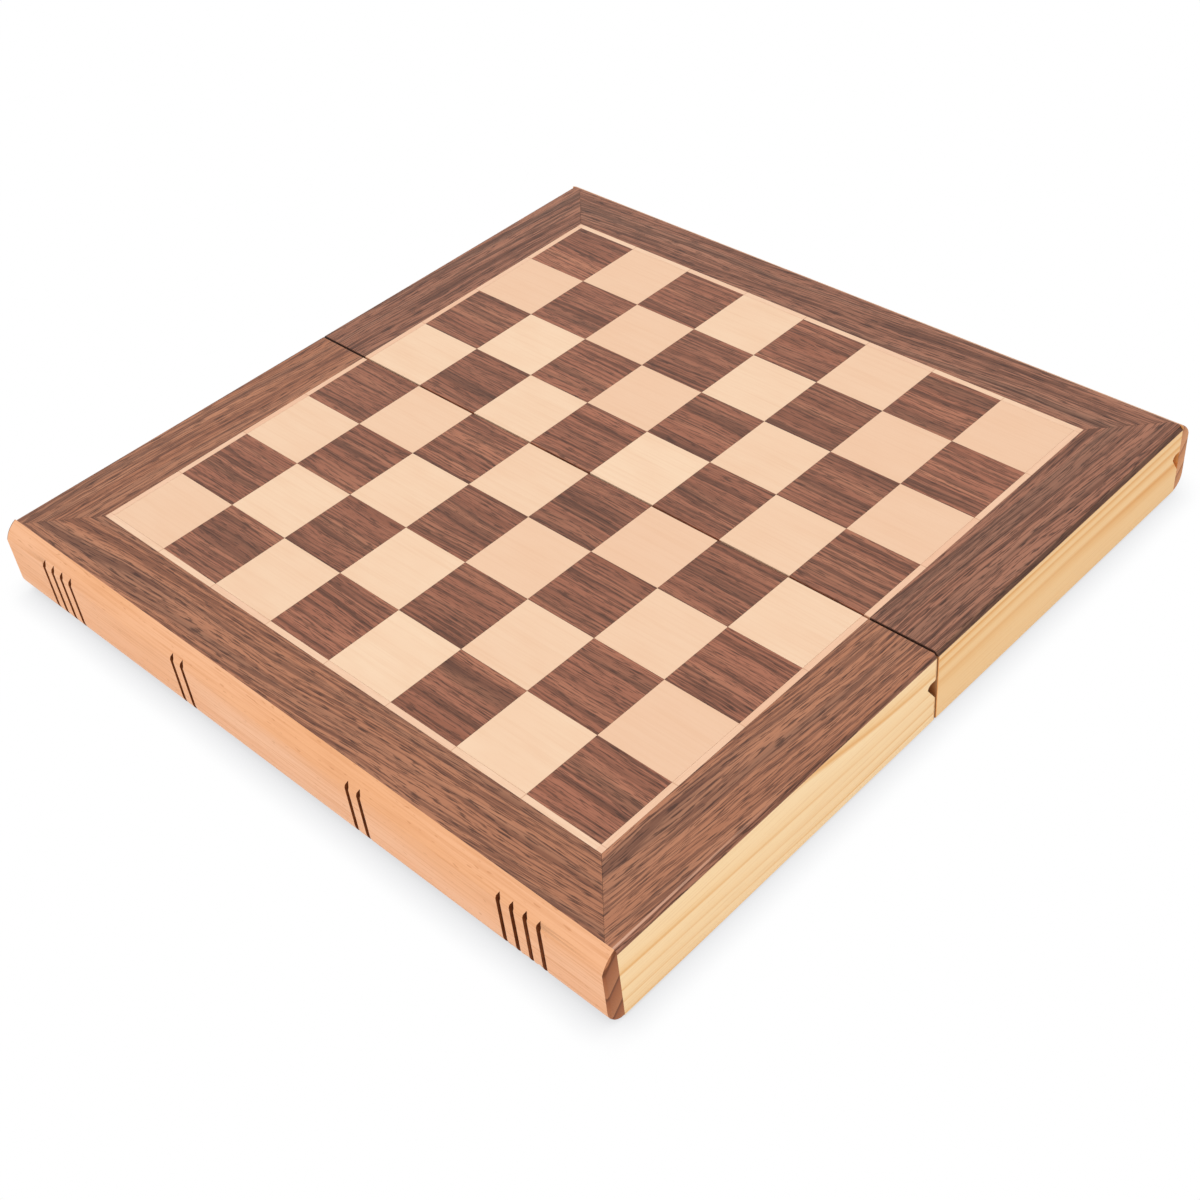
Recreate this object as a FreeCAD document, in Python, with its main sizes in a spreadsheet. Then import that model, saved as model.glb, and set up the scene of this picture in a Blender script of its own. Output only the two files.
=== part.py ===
# Folding chess board in the style of a book: two shallow pine trays hinged along the middle,
# each decked with half of an inlaid playing surface and closed by a rounded spine strip.
# Open flat the trays look down and the rims stand on small rubber bumpers.
# X runs along the fold, Y across it, Z up. The origin is on the table under the board's centre.
import FreeCAD
import Part
import Sketcher
import os

doc = FreeCAD.newDocument("FoldingChessBoard")
vector = FreeCAD.Vector

# Driving dimensions in millimetres
driving_sizes = (
    ("square", 38.0, "side of one playing square"),
    ("joint_line", 0.1, "glue line between neighbouring pieces of the playing surface"),
    ("string_width", 3.0, "pale stringing round the squares"),
    ("side_border", 33.0, "walnut border along the sides"),
    ("end_border", 27.5, "walnut border along the spine"),
    ("mitre_land", 5.5, "end of the side border that reaches the spine beside the mitre"),
    ("surface_thick", 2.2, "thickness of the inlaid layer"),
    ("bevel_run", 1.7, "width of the bevel along the sides"),
    ("bevel_drop", 2.0, "height of the bevel along the sides"),
    ("fold_gap", 1.0, "gap between the two halves when open"),
    ("wall_height", 34.5, "height of the pine walls"),
    ("wall_thick", 10.0, "thickness of the pine walls"),
    ("deck_thick", 4.0, "plywood panel under the inlaid layer"),
    ("deck_ledge", 5.0, "width of the rebate that carries the panel"),
    ("deck_play", 0.2, "gap round the panel"),
    ("felt_thick", 1.2, "lining on the panel inside the tray"),
    ("felt_play", 0.5, "gap round the lining"),
    ("groove_below_top", 11.6, "upper face of the hooked groove below the top of the wall"),
    ("groove_height", 10.0, "height of the hooked groove at its mouth"),
    ("groove_depth", 5.2, "depth of the hooked groove"),
    ("groove_round", 2.4, "round at the back of the hooked groove"),
    ("spine_thick", 7.0, "thickness of the spine strip"),
    ("spine_top_drop", 7.5, "height of the round along the top of the spine"),
    ("spine_top_radius", 13.5, "radius of the round along the top of the spine"),
    ("spine_foot", 1.5, "flat left under the spine"),
    ("spine_foot_rise", 7.5, "height of the round along the bottom of the spine"),
    ("kerf_width", 2.2, "width of a kerf across the spine"),
    ("kerf_depth", 2.0, "depth of a kerf behind the face of the spine"),
    ("kerf_below_top", 4.3, "point of a kerf below the playing surface"),
    ("kerf_point", 2.0, "height of the point at the upper end of a kerf"),
    ("kerf_pitch", 6.8, "spacing of the kerfs in a group"),
    ("outer_kerfs", 136.0, "first kerf of an outer group from the middle"),
    ("inner_kerfs", 53.0, "first kerf of an inner group from the middle"),
    ("hinge_offset", 105.0, "middle of a hinge from the middle of the board"),
    ("hinge_width", 26.0, "length of a hinge along the fold"),
    ("leaf_height", 10.0, "height of a hinge leaf"),
    ("leaf_thick", 0.8, "thickness of a hinge leaf"),
    ("leaf_play", 0.2, "gap round a leaf in its mortise"),
    ("barrel_radius", 1.2, "outer radius of the hinge knuckles"),
    ("barrel_relief", 0.4, "clearance cut round the knuckles"),
    ("knuckle_gap", 0.3, "gap between neighbouring knuckles"),
    ("pin_radius", 0.6, "radius of the hinge pin"),
    ("pin_play", 0.05, "running clearance round the hinge pin"),
    ("screw_length", 7.0, "length of a hinge screw"),
    ("screw_radius", 0.9, "radius of a hinge screw's shank"),
    ("screw_head_radius", 1.7, "radius of a hinge screw's countersunk head"),
    ("screw_play", 0.05, "clearance round a hinge screw"),
    ("slot_width", 0.5, "width of the slot in a hinge screw's head"),
    ("slot_depth", 0.4, "depth of the slot in a hinge screw's head"),
    ("screw_spacing", 14.0, "spacing of the screws in a leaf"),
    ("screw_rise", 5.8, "height of the screws above the rim"),
    ("magnet_radius", 3.0, "radius of a closing magnet"),
    ("magnet_thick", 3.0, "thickness of a closing magnet"),
    ("magnet_sink", 0.2, "depth of a magnet's face below the rim"),
    ("magnet_play", 0.05, "clearance round a magnet"),
    ("magnet_offset", 60.0, "magnets from the middle of the board"),
    ("bumper_radius", 4.0, "radius of a rubber bumper"),
    ("table_clear", 0.1, "gap that the bumpers leave under the knuckles"),
    ("near_bumper_inset", 23.0, "bumpers of the near half from the board's sides"),
    ("far_bumper_inset", 40.0, "bumpers of the far half from the board's sides"),
)
rows_per_half = 4
columns = 8
outer_kerf_count = 4
inner_kerf_count = 2
knuckle_count = 3
screws_per_leaf = 2
least_cut = 1e-6

sizes = doc.addObject("Spreadsheet::Sheet", "Sizes")
for row, (alias, value, meaning) in enumerate(driving_sizes, 1):
    sizes.set(f"A{row}", meaning)
    sizes.set(f"B{row}", str(value))
    sizes.setAlias(f"B{row}", alias)
doc.recompute()

# Places worked out from the driving dimensions. Lengths along Y are counted from the fold outwards.
# The rims stand as high as the bumpers are thick, which keeps the hinge knuckles off the table.
rim = "(Sizes.barrel_radius + Sizes.table_clear)"
wall_top = f"({rim} + Sizes.wall_height)"
board_top = f"({wall_top} + Sizes.surface_thick)"
deck_under = f"({wall_top} - Sizes.deck_thick)"
fold_face = "Sizes.fold_gap / 2"
field_end = f"({fold_face} + {rows_per_half} * Sizes.square)"
string_end = f"({field_end} + Sizes.string_width)"
frame_end = f"({string_end} + Sizes.end_border)"
field_side = f"({columns} / 2 * Sizes.square)"
string_side = f"({field_side} + Sizes.string_width)"
frame_side = f"({string_side} + Sizes.side_border)"
half_joint = "Sizes.joint_line / 2"
leaf_face = "(Sizes.barrel_radius - Sizes.leaf_thick)"
screw_height = f"({rim} + Sizes.screw_rise)"
rim_middle = f"({frame_end} - Sizes.wall_thick / 2)"
knuckle_pitch = f"(Sizes.hinge_width / {knuckle_count})"

pieces = []
cuts = []


def number(expression):
    return float(sizes.evalExpression(expression))


def origin_of(body, role):
    return next(item for item in body.Origin.OriginFeatures if item.Role == role)


def new_body(label):
    body = doc.addObject("PartDesign::Body", label)
    pieces.append(body)
    return body


def settle(piece, half, along_x=None):
    # Each half is drawn from the fold outwards, and the near half is turned round to face it
    piece.Placement = FreeCAD.Placement(vector(0, 0, 0), half["turn"])
    if along_x:
        piece.setExpression("Placement.Base.x", along_x)


def side_name(half, side):
    return "right" if side * half["right"] > 0 else "left"


def new_sketch(body, name, role, lift=None, raise_by=None, shift_by=None):
    sketch = body.newObject("Sketcher::SketchObject", name)
    sketch.AttachmentSupport = [(origin_of(body, role), "")]
    sketch.MapMode = "FlatFace"
    for axis, expression in (("x", shift_by), ("y", raise_by), ("z", lift)):
        if expression:
            sketch.setExpression(f"AttachmentOffset.Base.{axis}", expression)
    return sketch


def bind(sketch, kind, start, start_end, target, target_end, expression):
    constraint = Sketcher.Constraint(kind, start, start_end, target, target_end, number(expression))
    index = sketch.addConstraint(constraint)
    sketch.setExpression(f"Constraints[{index}]", expression)


def arc_between(first, last, radius, centre_on_left):
    # Minor arc with its centre to the left or the right of the way from first to last
    chord = last - first
    middle = (first + last) * 0.5
    reach = (radius ** 2 - (chord.Length / 2) ** 2) ** 0.5
    across = vector(-chord.y, chord.x, 0)
    across.normalize()
    centre = middle + across * (reach if centre_on_left else -reach)
    ends = (first, last) if centre_on_left else (last, first)
    angles = [(end - centre).getAngle(vector(1, 0, 0)) * (1 if end.y >= centre.y else -1) for end in ends]
    return Part.ArcOfCircle(Part.Circle(centre, vector(0, 0, 1), radius), angles[0], angles[1])


def add_outline(sketch, corners, arcs=None):
    # Closed outline through corners given as expressions, with straight sides except where
    # arcs names a side: its radius and whether its centre lies to the left on the way round
    arcs = arcs or {}
    places = [vector(number(across), number(up), 0) for across, up in corners]
    first_side = sketch.GeometryCount
    ends = []
    for side, place in enumerate(places):
        following = places[(side + 1) % len(places)]
        if side in arcs:
            radius, centre_on_left = arcs[side]
            sketch.addGeometry(arc_between(place, following, number(radius), centre_on_left), False)
            ends.append((1, 2) if centre_on_left else (2, 1))
        else:
            sketch.addGeometry(Part.LineSegment(place, following), False)
            ends.append((1, 2))
    for side in range(len(places)):
        after = (side + 1) % len(places)
        joint = (first_side + side, ends[side][1], first_side + after, ends[after][0])
        sketch.addConstraint(Sketcher.Constraint("Coincident", *joint))
    for side, (across, up) in enumerate(corners):
        bind(sketch, "DistanceX", -1, 1, first_side + side, ends[side][0], across)
        bind(sketch, "DistanceY", -1, 1, first_side + side, ends[side][0], up)
    for side, (radius, _) in arcs.items():
        index = sketch.addConstraint(Sketcher.Constraint("Radius", first_side + side, number(radius)))
        sketch.setExpression(f"Constraints[{index}]", radius)


def add_rectangle(sketch, left, bottom, right, top):
    add_outline(sketch, [(left, bottom), (right, bottom), (right, top), (left, top)])


def add_circle(sketch, across, up, radius):
    centre = vector(number(across), number(up), 0)
    index = sketch.addGeometry(Part.Circle(centre, vector(0, 0, 1), number(radius)), False)
    bind(sketch, "DistanceX", -1, 1, index, 3, across)
    bind(sketch, "DistanceY", -1, 1, index, 3, up)
    constraint = sketch.addConstraint(Sketcher.Constraint("Radius", index, number(radius)))
    sketch.setExpression(f"Constraints[{constraint}]", radius)


def pad(body, name, sketch, length, reverse=False, both_ways=False):
    feature = body.newObject("PartDesign::Pad", name)
    feature.Profile = sketch
    feature.setExpression("Length", length)
    feature.Reversed = reverse
    if both_ways:
        feature.SideType = "Symmetric"
    return feature


def pocket(body, name, sketch, depth=None):
    # Without a depth the pocket runs right through, both ways
    feature = body.newObject("PartDesign::Pocket", name)
    feature.Profile = sketch
    if depth:
        feature.setExpression("Length", depth)
    else:
        feature.Type = "ThroughAll"
        feature.SideType = "Symmetric"
    cuts.append(feature)
    return feature


def repeat(body, name, originals, steps, mirrored=False):
    # steps holds an axis role, a spacing and a count for each row of copies
    whole = body.newObject("PartDesign::MultiTransform", name)
    whole.Originals = originals
    moves = []
    for role, spacing, count in steps:
        row_of_copies = body.newObject("PartDesign::LinearPattern", f"{name}_{role}")
        row_of_copies.Direction = (origin_of(body, role), [""])
        row_of_copies.Mode = "Spacing"
        row_of_copies.setExpression("Offset", spacing)
        row_of_copies.Occurrences = count
        moves.append(row_of_copies)
    if mirrored:
        mirror = body.newObject("PartDesign::Mirrored", f"{name}_mirror")
        mirror.MirrorPlane = (origin_of(body, "YZ_Plane"), [""])
        moves.append(mirror)
    whole.Transformations = moves
    body.Tip = whole
    return whole


def new_box(label, half, low, high):
    # Plain rectangular piece between two corners given as expressions
    box = doc.addObject("Part::Box", label)
    settle(box, half)
    for side, start, end in zip(("Length", "Width", "Height"), low, high):
        box.setExpression(side, f"{end} - ({start})")
    turn = half["right"]
    for axis, start, end in zip("xyz", low, high):
        corner = f"{turn} * ({start})" if axis in "xy" else start
        box.setExpression(f"Placement.Base.{axis}", corner)
    pieces.append(box)
    return box


def new_discs(label, half, radius, thickness, along_x, along_y, height):
    # A pair of equal discs, one each side of the middle
    turn = half["right"]
    pair = []
    for side, word in ((-1, "left"), (1, "right")):
        disc = doc.addObject("Part::Cylinder", f"{label}_{word}")
        disc.setExpression("Radius", radius)
        disc.setExpression("Height", thickness)
        disc.setExpression("Placement.Base.x", f"{side} * {along_x}")
        disc.setExpression("Placement.Base.y", f"{turn} * {along_y}")
        disc.setExpression("Placement.Base.z", height)
        pair.append(disc)
    group = doc.addObject("Part::Compound", label)
    group.Links = pair
    pieces.append(group)


def cut_deck_rebate(body, low, high):
    # Step along the inner top edge of a wall that the deck panel lies in
    sketch = new_sketch(body, "deck_rebate_plan", "XY_Plane", lift=wall_top)
    add_rectangle(sketch, low[0], low[1], high[0], high[1])
    pocket(body, "deck_rebate", sketch, "Sizes.deck_thick")


def cut_end_groove(body, mouth, inward):
    # Hooked groove along an end of the frame: level upper face, round back and a sloping lower face
    ceiling = f"({wall_top} - Sizes.groove_below_top)"
    floor = f"({ceiling} - Sizes.groove_height)"
    back = f"({mouth} + {inward} * Sizes.groove_depth)"
    outside = f"({mouth} - {inward} * Sizes.spine_thick)"
    sketch = new_sketch(body, "end_groove_profile", "YZ_Plane")
    corners = [
        (outside, ceiling),
        (f"{back} - {inward} * Sizes.groove_round", ceiling),
        (back, f"{ceiling} - Sizes.groove_round"),
        (mouth, floor),
        (outside, floor),
    ]
    add_outline(sketch, corners, {1: ("Sizes.groove_round", inward < 0)})
    pocket(body, "end_groove", sketch)


def make_side_wall(half, side):
    # Long pine wall with mitred ends
    body = new_body(f"{half['name']}_{side_name(half, side)}_wall")
    inner = f"({frame_side} - Sizes.wall_thick)"
    plan = new_sketch(body, "plan", "XY_Plane", lift=rim)
    add_outline(plan, [
        (f"{side} * {frame_side}", fold_face),
        (f"{side} * {frame_side}", frame_end),
        (f"{side} * {inner}", f"{frame_end} - Sizes.wall_thick"),
        (f"{side} * {inner}", f"{fold_face} + Sizes.wall_thick"),
    ])
    pad(body, "wall", plan, "Sizes.wall_height")
    step = f"({inner} + Sizes.deck_ledge)"
    edges = sorted((f"{side} * 0", f"{side} * {step}"), key=number)
    cut_deck_rebate(body, (edges[0], fold_face), (edges[1], frame_end))
    if half["groove_at_fold"]:
        cut_end_groove(body, fold_face, 1)
    else:
        cut_end_groove(body, frame_end, -1)
    settle(body, half)


def make_end_wall(half, name, outer, inward):
    # Cross wall with mitred ends, between outer and one wall's thickness inwards
    body = new_body(f"{half['name']}_{name}")
    inner = f"({outer} + {inward} * Sizes.wall_thick)"
    inner_side = f"({frame_side} - Sizes.wall_thick)"
    plan = new_sketch(body, "plan", "XY_Plane", lift=rim)
    add_outline(plan, [
        (f"-{frame_side}", outer),
        (frame_side, outer),
        (inner_side, inner),
        (f"-{inner_side}", inner),
    ])
    pad(body, "wall", plan, "Sizes.wall_height")
    step = f"({inner} - {inward} * Sizes.deck_ledge)"
    edges = sorted((step, inner), key=number)
    cut_deck_rebate(body, (f"-{frame_side}", edges[0]), (frame_side, edges[1]))
    settle(body, half)
    return body


def make_fold_wall(half):
    # Wall along the fold, let in for the hinge leaves, their knuckles and screws
    body = make_end_wall(half, "fold_wall", fold_face, 1)
    reach = "(Sizes.hinge_width / 2 + Sizes.leaf_play)"
    beds = (
        ("leaf_mortise", f"{rim} + Sizes.leaf_height + Sizes.leaf_play", "Sizes.barrel_radius"),
        (
            "barrel_relief",
            f"{rim} + Sizes.barrel_radius + Sizes.barrel_relief",
            "Sizes.barrel_radius + Sizes.barrel_relief",
        ),
    )
    for name, top, depth in beds:
        sketch = new_sketch(body, f"{name}_face", "XZ_Plane")
        for side in (-1, 1):
            middle = f"{side} * Sizes.hinge_offset"
            add_rectangle(sketch, f"{middle} - {reach}", "0", f"{middle} + {reach}", top)
        pocket(body, name, sketch, depth)
    pilots = new_sketch(body, "screw_pilot_face", "XZ_Plane")
    for side in (-1, 1):
        for place in range(screws_per_leaf):
            along = f"({place} - {(screws_per_leaf - 1) / 2}) * Sizes.screw_spacing"
            middle = f"{side} * Sizes.hinge_offset + {along}"
            add_circle(pilots, middle, screw_height, "Sizes.screw_radius + Sizes.screw_play")
    pocket(body, "screw_pilots", pilots, f"{leaf_face} + Sizes.screw_length + Sizes.screw_play")
    if half["groove_at_fold"]:
        cut_end_groove(body, fold_face, 1)


def make_spine_wall(half):
    # Wall behind the spine strip, bored under its rim for the closing magnets
    body = make_end_wall(half, "spine_wall", frame_end, -1)
    bore_depth = "(Sizes.magnet_thick + Sizes.magnet_sink)"
    bores = new_sketch(body, "magnet_bore_plan", "XY_Plane", lift=f"{rim} + {bore_depth}")
    for side in (-1, 1):
        middle = f"{side} * Sizes.magnet_offset"
        add_circle(bores, middle, rim_middle, "Sizes.magnet_radius + Sizes.magnet_play")
    pocket(body, "magnet_bores", bores, bore_depth)
    if not half["groove_at_fold"]:
        cut_end_groove(body, frame_end, -1)


def make_spine_strip(half):
    # Rounded strip across the end, like a book's spine, with groups of saw kerfs
    body = new_body(f"{half['name']}_spine_strip")
    spine_end = f"({frame_end} + Sizes.spine_thick)"
    foot = "(Sizes.spine_thick - Sizes.spine_foot)"
    foot_radius = f"({foot} ^ 2 + Sizes.spine_foot_rise ^ 2) / (2 * {foot})"
    profile = new_sketch(body, "profile", "YZ_Plane")
    corners = [
        (frame_end, rim),
        (f"{frame_end} + Sizes.spine_foot", rim),
        (spine_end, f"{rim} + Sizes.spine_foot_rise"),
        (spine_end, f"{board_top} - Sizes.spine_top_drop"),
        (frame_end, board_top),
    ]
    add_outline(profile, corners, {1: (foot_radius, True), 3: ("Sizes.spine_top_radius", True)})
    pad(body, "strip", profile, f"2 * {frame_side}", both_ways=True)
    # Each kerf is cut from its floor outwards and ends in a point that runs out on the upper round
    kerf_floor = f"({spine_end} - Sizes.kerf_depth)"
    half_width = "Sizes.kerf_width / 2"
    point = f"({board_top} - Sizes.kerf_below_top)"
    shoulder = f"({point} - Sizes.kerf_point)"
    for name, count in (("outer_kerfs", outer_kerf_count), ("inner_kerfs", inner_kerf_count)):
        first = f"Sizes.{name}"
        face = new_sketch(body, f"{name}_face", "XZ_Plane", lift=f"-{kerf_floor}")
        add_outline(face, [
            (f"{first} - {half_width}", "0"),
            (f"{first} + {half_width}", "0"),
            (f"{first} + {half_width}", shoulder),
            (first, point),
            (f"{first} - {half_width}", shoulder),
        ])
        kerf = pocket(body, name, face, "2 * Sizes.kerf_depth")
        repeat(body, f"{name}_group", [kerf], [("X_Axis", "Sizes.kerf_pitch", count)], mirrored=True)
    settle(body, half)


def make_side_border(half, side):
    # Walnut border along a side, mitred to the end border and bevelled along its outer edge
    body = new_body(f"{half['name']}_{side_name(half, side)}_border")
    inner = f"({string_side} + {half_joint})"
    plan = new_sketch(body, "plan", "XY_Plane", lift=wall_top)
    add_outline(plan, [
        (f"{side} * {inner}", fold_face),
        (f"{side} * {frame_side}", fold_face),
        (f"{side} * {frame_side}", frame_end),
        (f"{side} * ({frame_side} - Sizes.mitre_land + {half_joint})", frame_end),
        (f"{side} * {inner}", string_end),
    ])
    pad(body, "board", plan, "Sizes.surface_thick")
    bevel = new_sketch(body, "bevel_profile", "XZ_Plane")
    add_outline(bevel, [
        (f"{side} * ({frame_side} - Sizes.bevel_run)", board_top),
        (f"{side} * {frame_side}", f"{board_top} - Sizes.bevel_drop"),
        (f"{side} * {frame_side}", board_top),
    ])
    pocket(body, "bevel", bevel)
    settle(body, half)


def make_end_border(half):
    # Walnut border along the spine, mitred at both ends
    body = new_body(f"{half['name']}_end_border")
    mitre_end = f"({frame_side} - Sizes.mitre_land - {half_joint})"
    plan = new_sketch(body, "plan", "XY_Plane", lift=wall_top)
    add_outline(plan, [
        (f"-({string_side} - {half_joint})", f"{string_end} + {half_joint}"),
        (f"{string_side} - {half_joint}", f"{string_end} + {half_joint}"),
        (mitre_end, frame_end),
        (f"-{mitre_end}", frame_end),
    ])
    pad(body, "board", plan, "Sizes.surface_thick")
    settle(body, half)


def make_stringing(half):
    # Thin pale lines between the squares and the border, none along the fold
    for side in (-1, 1):
        edges = (f"{side} * ({field_side} + {half_joint})", f"{side} * ({string_side} - {half_joint})")
        low, high = sorted(edges, key=number)
        label = f"{half['name']}_{side_name(half, side)}_stringing"
        new_box(label, half, (low, fold_face, wall_top), (high, f"{field_end} - {half_joint}", board_top))
    reach = f"({string_side} - {half_joint})"
    low = (f"-{reach}", f"{field_end} + {half_joint}", wall_top)
    high = (reach, f"{string_end} - {half_joint}", board_top)
    new_box(f"{half['name']}_end_stringing", half, low, high)


def make_squares(half, name, first_columns):
    # Every second square of the half: one square in each of two rows, repeated two by two
    body = new_body(f"{half['name']}_{name}")
    plan = new_sketch(body, "plan", "XY_Plane", lift=wall_top)
    for row, column in enumerate(first_columns):
        left = f"-{field_side} + {column} * Sizes.square + {half_joint}"
        bottom = f"{fold_face} + {row} * Sizes.square + {half_joint}"
        reach = "Sizes.square - Sizes.joint_line"
        add_rectangle(plan, left, bottom, f"{left} + {reach}", f"{bottom} + {reach}")
    squares = pad(body, "squares", plan, "Sizes.surface_thick")
    two_squares = "2 * Sizes.square"
    steps = [("X_Axis", two_squares, columns // 2), ("Y_Axis", two_squares, rows_per_half // 2)]
    repeat(body, "field", [squares], steps)
    settle(body, half)


def make_deck(half):
    # Plywood panel in the frame's rebate, and the felt lining glued under it
    reach = f"({frame_side} - Sizes.wall_thick + Sizes.deck_ledge - Sizes.deck_play)"
    inset = "(Sizes.wall_thick - Sizes.deck_ledge + Sizes.deck_play)"
    low = (f"-{reach}", f"{fold_face} + {inset}", deck_under)
    high = (reach, f"{frame_end} - {inset}", wall_top)
    new_box(f"{half['name']}_deck_panel", half, low, high)
    reach = f"({frame_side} - Sizes.wall_thick - Sizes.felt_play)"
    inset = "(Sizes.wall_thick + Sizes.felt_play)"
    low = (f"-{reach}", f"{fold_face} + {inset}", f"{deck_under} - Sizes.felt_thick")
    high = (reach, f"{frame_end} - {inset}", deck_under)
    new_box(f"{half['name']}_felt_lining", half, low, high)


def make_hinge_leaf(half, side):
    # Brass leaf let into the fold wall, with its share of the knuckles rolled round the pin
    body = new_body(f"{half['name']}_{side_name(half, side)}_hinge_leaf")
    half_width = "Sizes.hinge_width / 2"
    clear = f"({rim} + Sizes.barrel_radius + Sizes.knuckle_gap)"
    first = half["first_knuckle"]
    count = (knuckle_count + 1 - first) // 2
    start = f"(-{half_width} + {first} * {knuckle_pitch} + Sizes.knuckle_gap / 2)"
    length = f"({knuckle_pitch} - Sizes.knuckle_gap)"
    plate_face = new_sketch(body, "plate_face", "XZ_Plane", lift=f"-{leaf_face}")
    add_rectangle(plate_face, f"-{half_width}", clear, half_width, f"{rim} + Sizes.leaf_height")
    pad(body, "plate", plate_face, "Sizes.leaf_thick", reverse=True)
    root_face = new_sketch(body, "root_face", "XZ_Plane", lift=f"-{leaf_face}")
    add_rectangle(root_face, start, rim, f"{start} + {length}", f"{clear} + Sizes.leaf_thick")
    root = pad(body, "root", root_face, "Sizes.leaf_thick", reverse=True)
    barrel = new_sketch(body, "knuckle_section", "YZ_Plane", lift=start)
    add_circle(barrel, "0", rim, "Sizes.barrel_radius")
    knuckle = pad(body, "knuckle", barrel, length)
    repeat(body, "knuckles", [root, knuckle], [("X_Axis", f"2 * {knuckle_pitch}", count)])
    bore = new_sketch(body, "pin_bore_section", "YZ_Plane")
    add_circle(bore, "0", rim, "Sizes.pin_radius + Sizes.pin_play")
    pocket(body, "pin_bore", bore)
    holes = new_sketch(body, "screw_hole_face", "XZ_Plane", lift=f"-{leaf_face}")
    for place in range(screws_per_leaf):
        along = f"({place} - {(screws_per_leaf - 1) / 2}) * Sizes.screw_spacing"
        add_circle(holes, along, screw_height, "Sizes.screw_head_radius + Sizes.screw_play")
    countersinks = pocket(body, "countersinks", holes, "Sizes.leaf_thick")
    countersinks.setExpression(
        "TaperAngle", "-atan((Sizes.screw_head_radius - Sizes.screw_radius) / Sizes.leaf_thick)"
    )
    settle(body, half, f"{side * half['right']} * Sizes.hinge_offset")


def make_hinge_screws(half):
    # Countersunk wood screws of both leaves
    body = new_body(f"{half['name']}_hinge_screws")
    first = f"Sizes.hinge_offset - {(screws_per_leaf - 1) / 2} * Sizes.screw_spacing"
    profile = new_sketch(body, "profile", "XY_Plane", lift=screw_height, shift_by=first)
    add_outline(profile, [
        ("0", leaf_face),
        ("Sizes.screw_head_radius", leaf_face),
        ("Sizes.screw_radius", f"{leaf_face} + Sizes.leaf_thick"),
        ("Sizes.screw_radius", f"{leaf_face} + Sizes.screw_length"),
        ("0", f"{leaf_face} + Sizes.screw_length"),
    ])
    screw = body.newObject("PartDesign::Revolution", "screw")
    screw.Profile = profile
    screw.ReferenceAxis = (profile, ["V_Axis"])
    screw.Angle = 360
    face = f"-{leaf_face}"
    slot_face = new_sketch(body, "slot_face", "XZ_Plane", face, screw_height, first)
    reach = "Sizes.screw_head_radius"
    half_slot = "Sizes.slot_width / 2"
    add_rectangle(slot_face, f"-{reach}", f"-{half_slot}", reach, half_slot)
    slot = pocket(body, "slot", slot_face, "Sizes.slot_depth")
    row_of_screws = [("X_Axis", "Sizes.screw_spacing", screws_per_leaf)]
    repeat(body, "screws", [screw, slot], row_of_screws, mirrored=True)
    settle(body, half)


def make_hinge_pin(half, side):
    # Pin through the knuckles, flush with their ends
    pin = doc.addObject("Part::Cylinder", f"{side_name(half, side)}_hinge_pin")
    pin.Placement.Rotation = FreeCAD.Rotation(vector(0, 1, 0), 90)
    pin.setExpression("Radius", "Sizes.pin_radius")
    pin.setExpression("Height", "Sizes.hinge_width")
    pin.setExpression(
        "Placement.Base.x", f"{side * half['right']} * Sizes.hinge_offset - Sizes.hinge_width / 2"
    )
    pin.setExpression("Placement.Base.z", rim)
    pieces.append(pin)


near_half = {
    "name": "near",
    "turn": FreeCAD.Rotation(vector(0, 0, 1), 180),
    "right": -1,
    "groove_at_fold": True,
    "first_knuckle": 0,
    "bumpers": f"({frame_side} - Sizes.near_bumper_inset)",
}
far_half = {
    "name": "far",
    "turn": FreeCAD.Rotation(),
    "right": 1,
    "groove_at_fold": False,
    "first_knuckle": 1,
    "bumpers": f"({frame_side} - Sizes.far_bumper_inset)",
}

for half in (near_half, far_half):
    make_deck(half)
    for side in (-1, 1):
        make_side_wall(half, side)
        make_side_border(half, side)
        make_hinge_leaf(half, side)
    make_fold_wall(half)
    make_spine_wall(half)
    make_spine_strip(half)
    make_end_border(half)
    make_stringing(half)
    make_squares(half, "light_squares", (0, 1))
    make_squares(half, "dark_squares", (1, 0))
    make_hinge_screws(half)
    magnet_height = f"{rim} + Sizes.magnet_sink"
    new_discs(
        f"{half['name']}_magnets", half, "Sizes.magnet_radius", "Sizes.magnet_thick",
        "Sizes.magnet_offset", rim_middle, magnet_height,
    )
    new_discs(
        f"{half['name']}_bumpers", half, "Sizes.bumper_radius", rim,
        half["bumpers"], rim_middle, "0",
    )
for side in (-1, 1):
    make_hinge_pin(near_half, side)

doc.recompute()

faults = [item.Label for item in doc.Objects if "Invalid" in item.State or "Error" in item.State]
faults += [piece.Label for piece in pieces if piece.Shape.isNull() or not piece.Shape.isValid()]
faults += [
    cut.Label for cut in cuts
    if cut.BaseFeature and cut.Shape.Volume > cut.BaseFeature.Shape.Volume - least_cut
]
if faults:
    raise RuntimeError("not built: " + ", ".join(faults))

os.makedirs("parts", exist_ok=True)
for piece in pieces:
    piece.Shape.exportStep(f"parts/{piece.Label}.step")
    box = piece.Shape.BoundBox
    print(piece.Label, len(piece.Shape.Solids), round(piece.Shape.Volume, 1), box)
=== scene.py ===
# Folding chess board, open flat: inlaid walnut and maple on two pine trays with rounded spine strips.
# X runs along the fold, Y across it, Z up, in metres. Sizes in the dictionaries are millimetres.
import math
import bmesh
import bpy
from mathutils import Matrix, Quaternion, Vector


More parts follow.
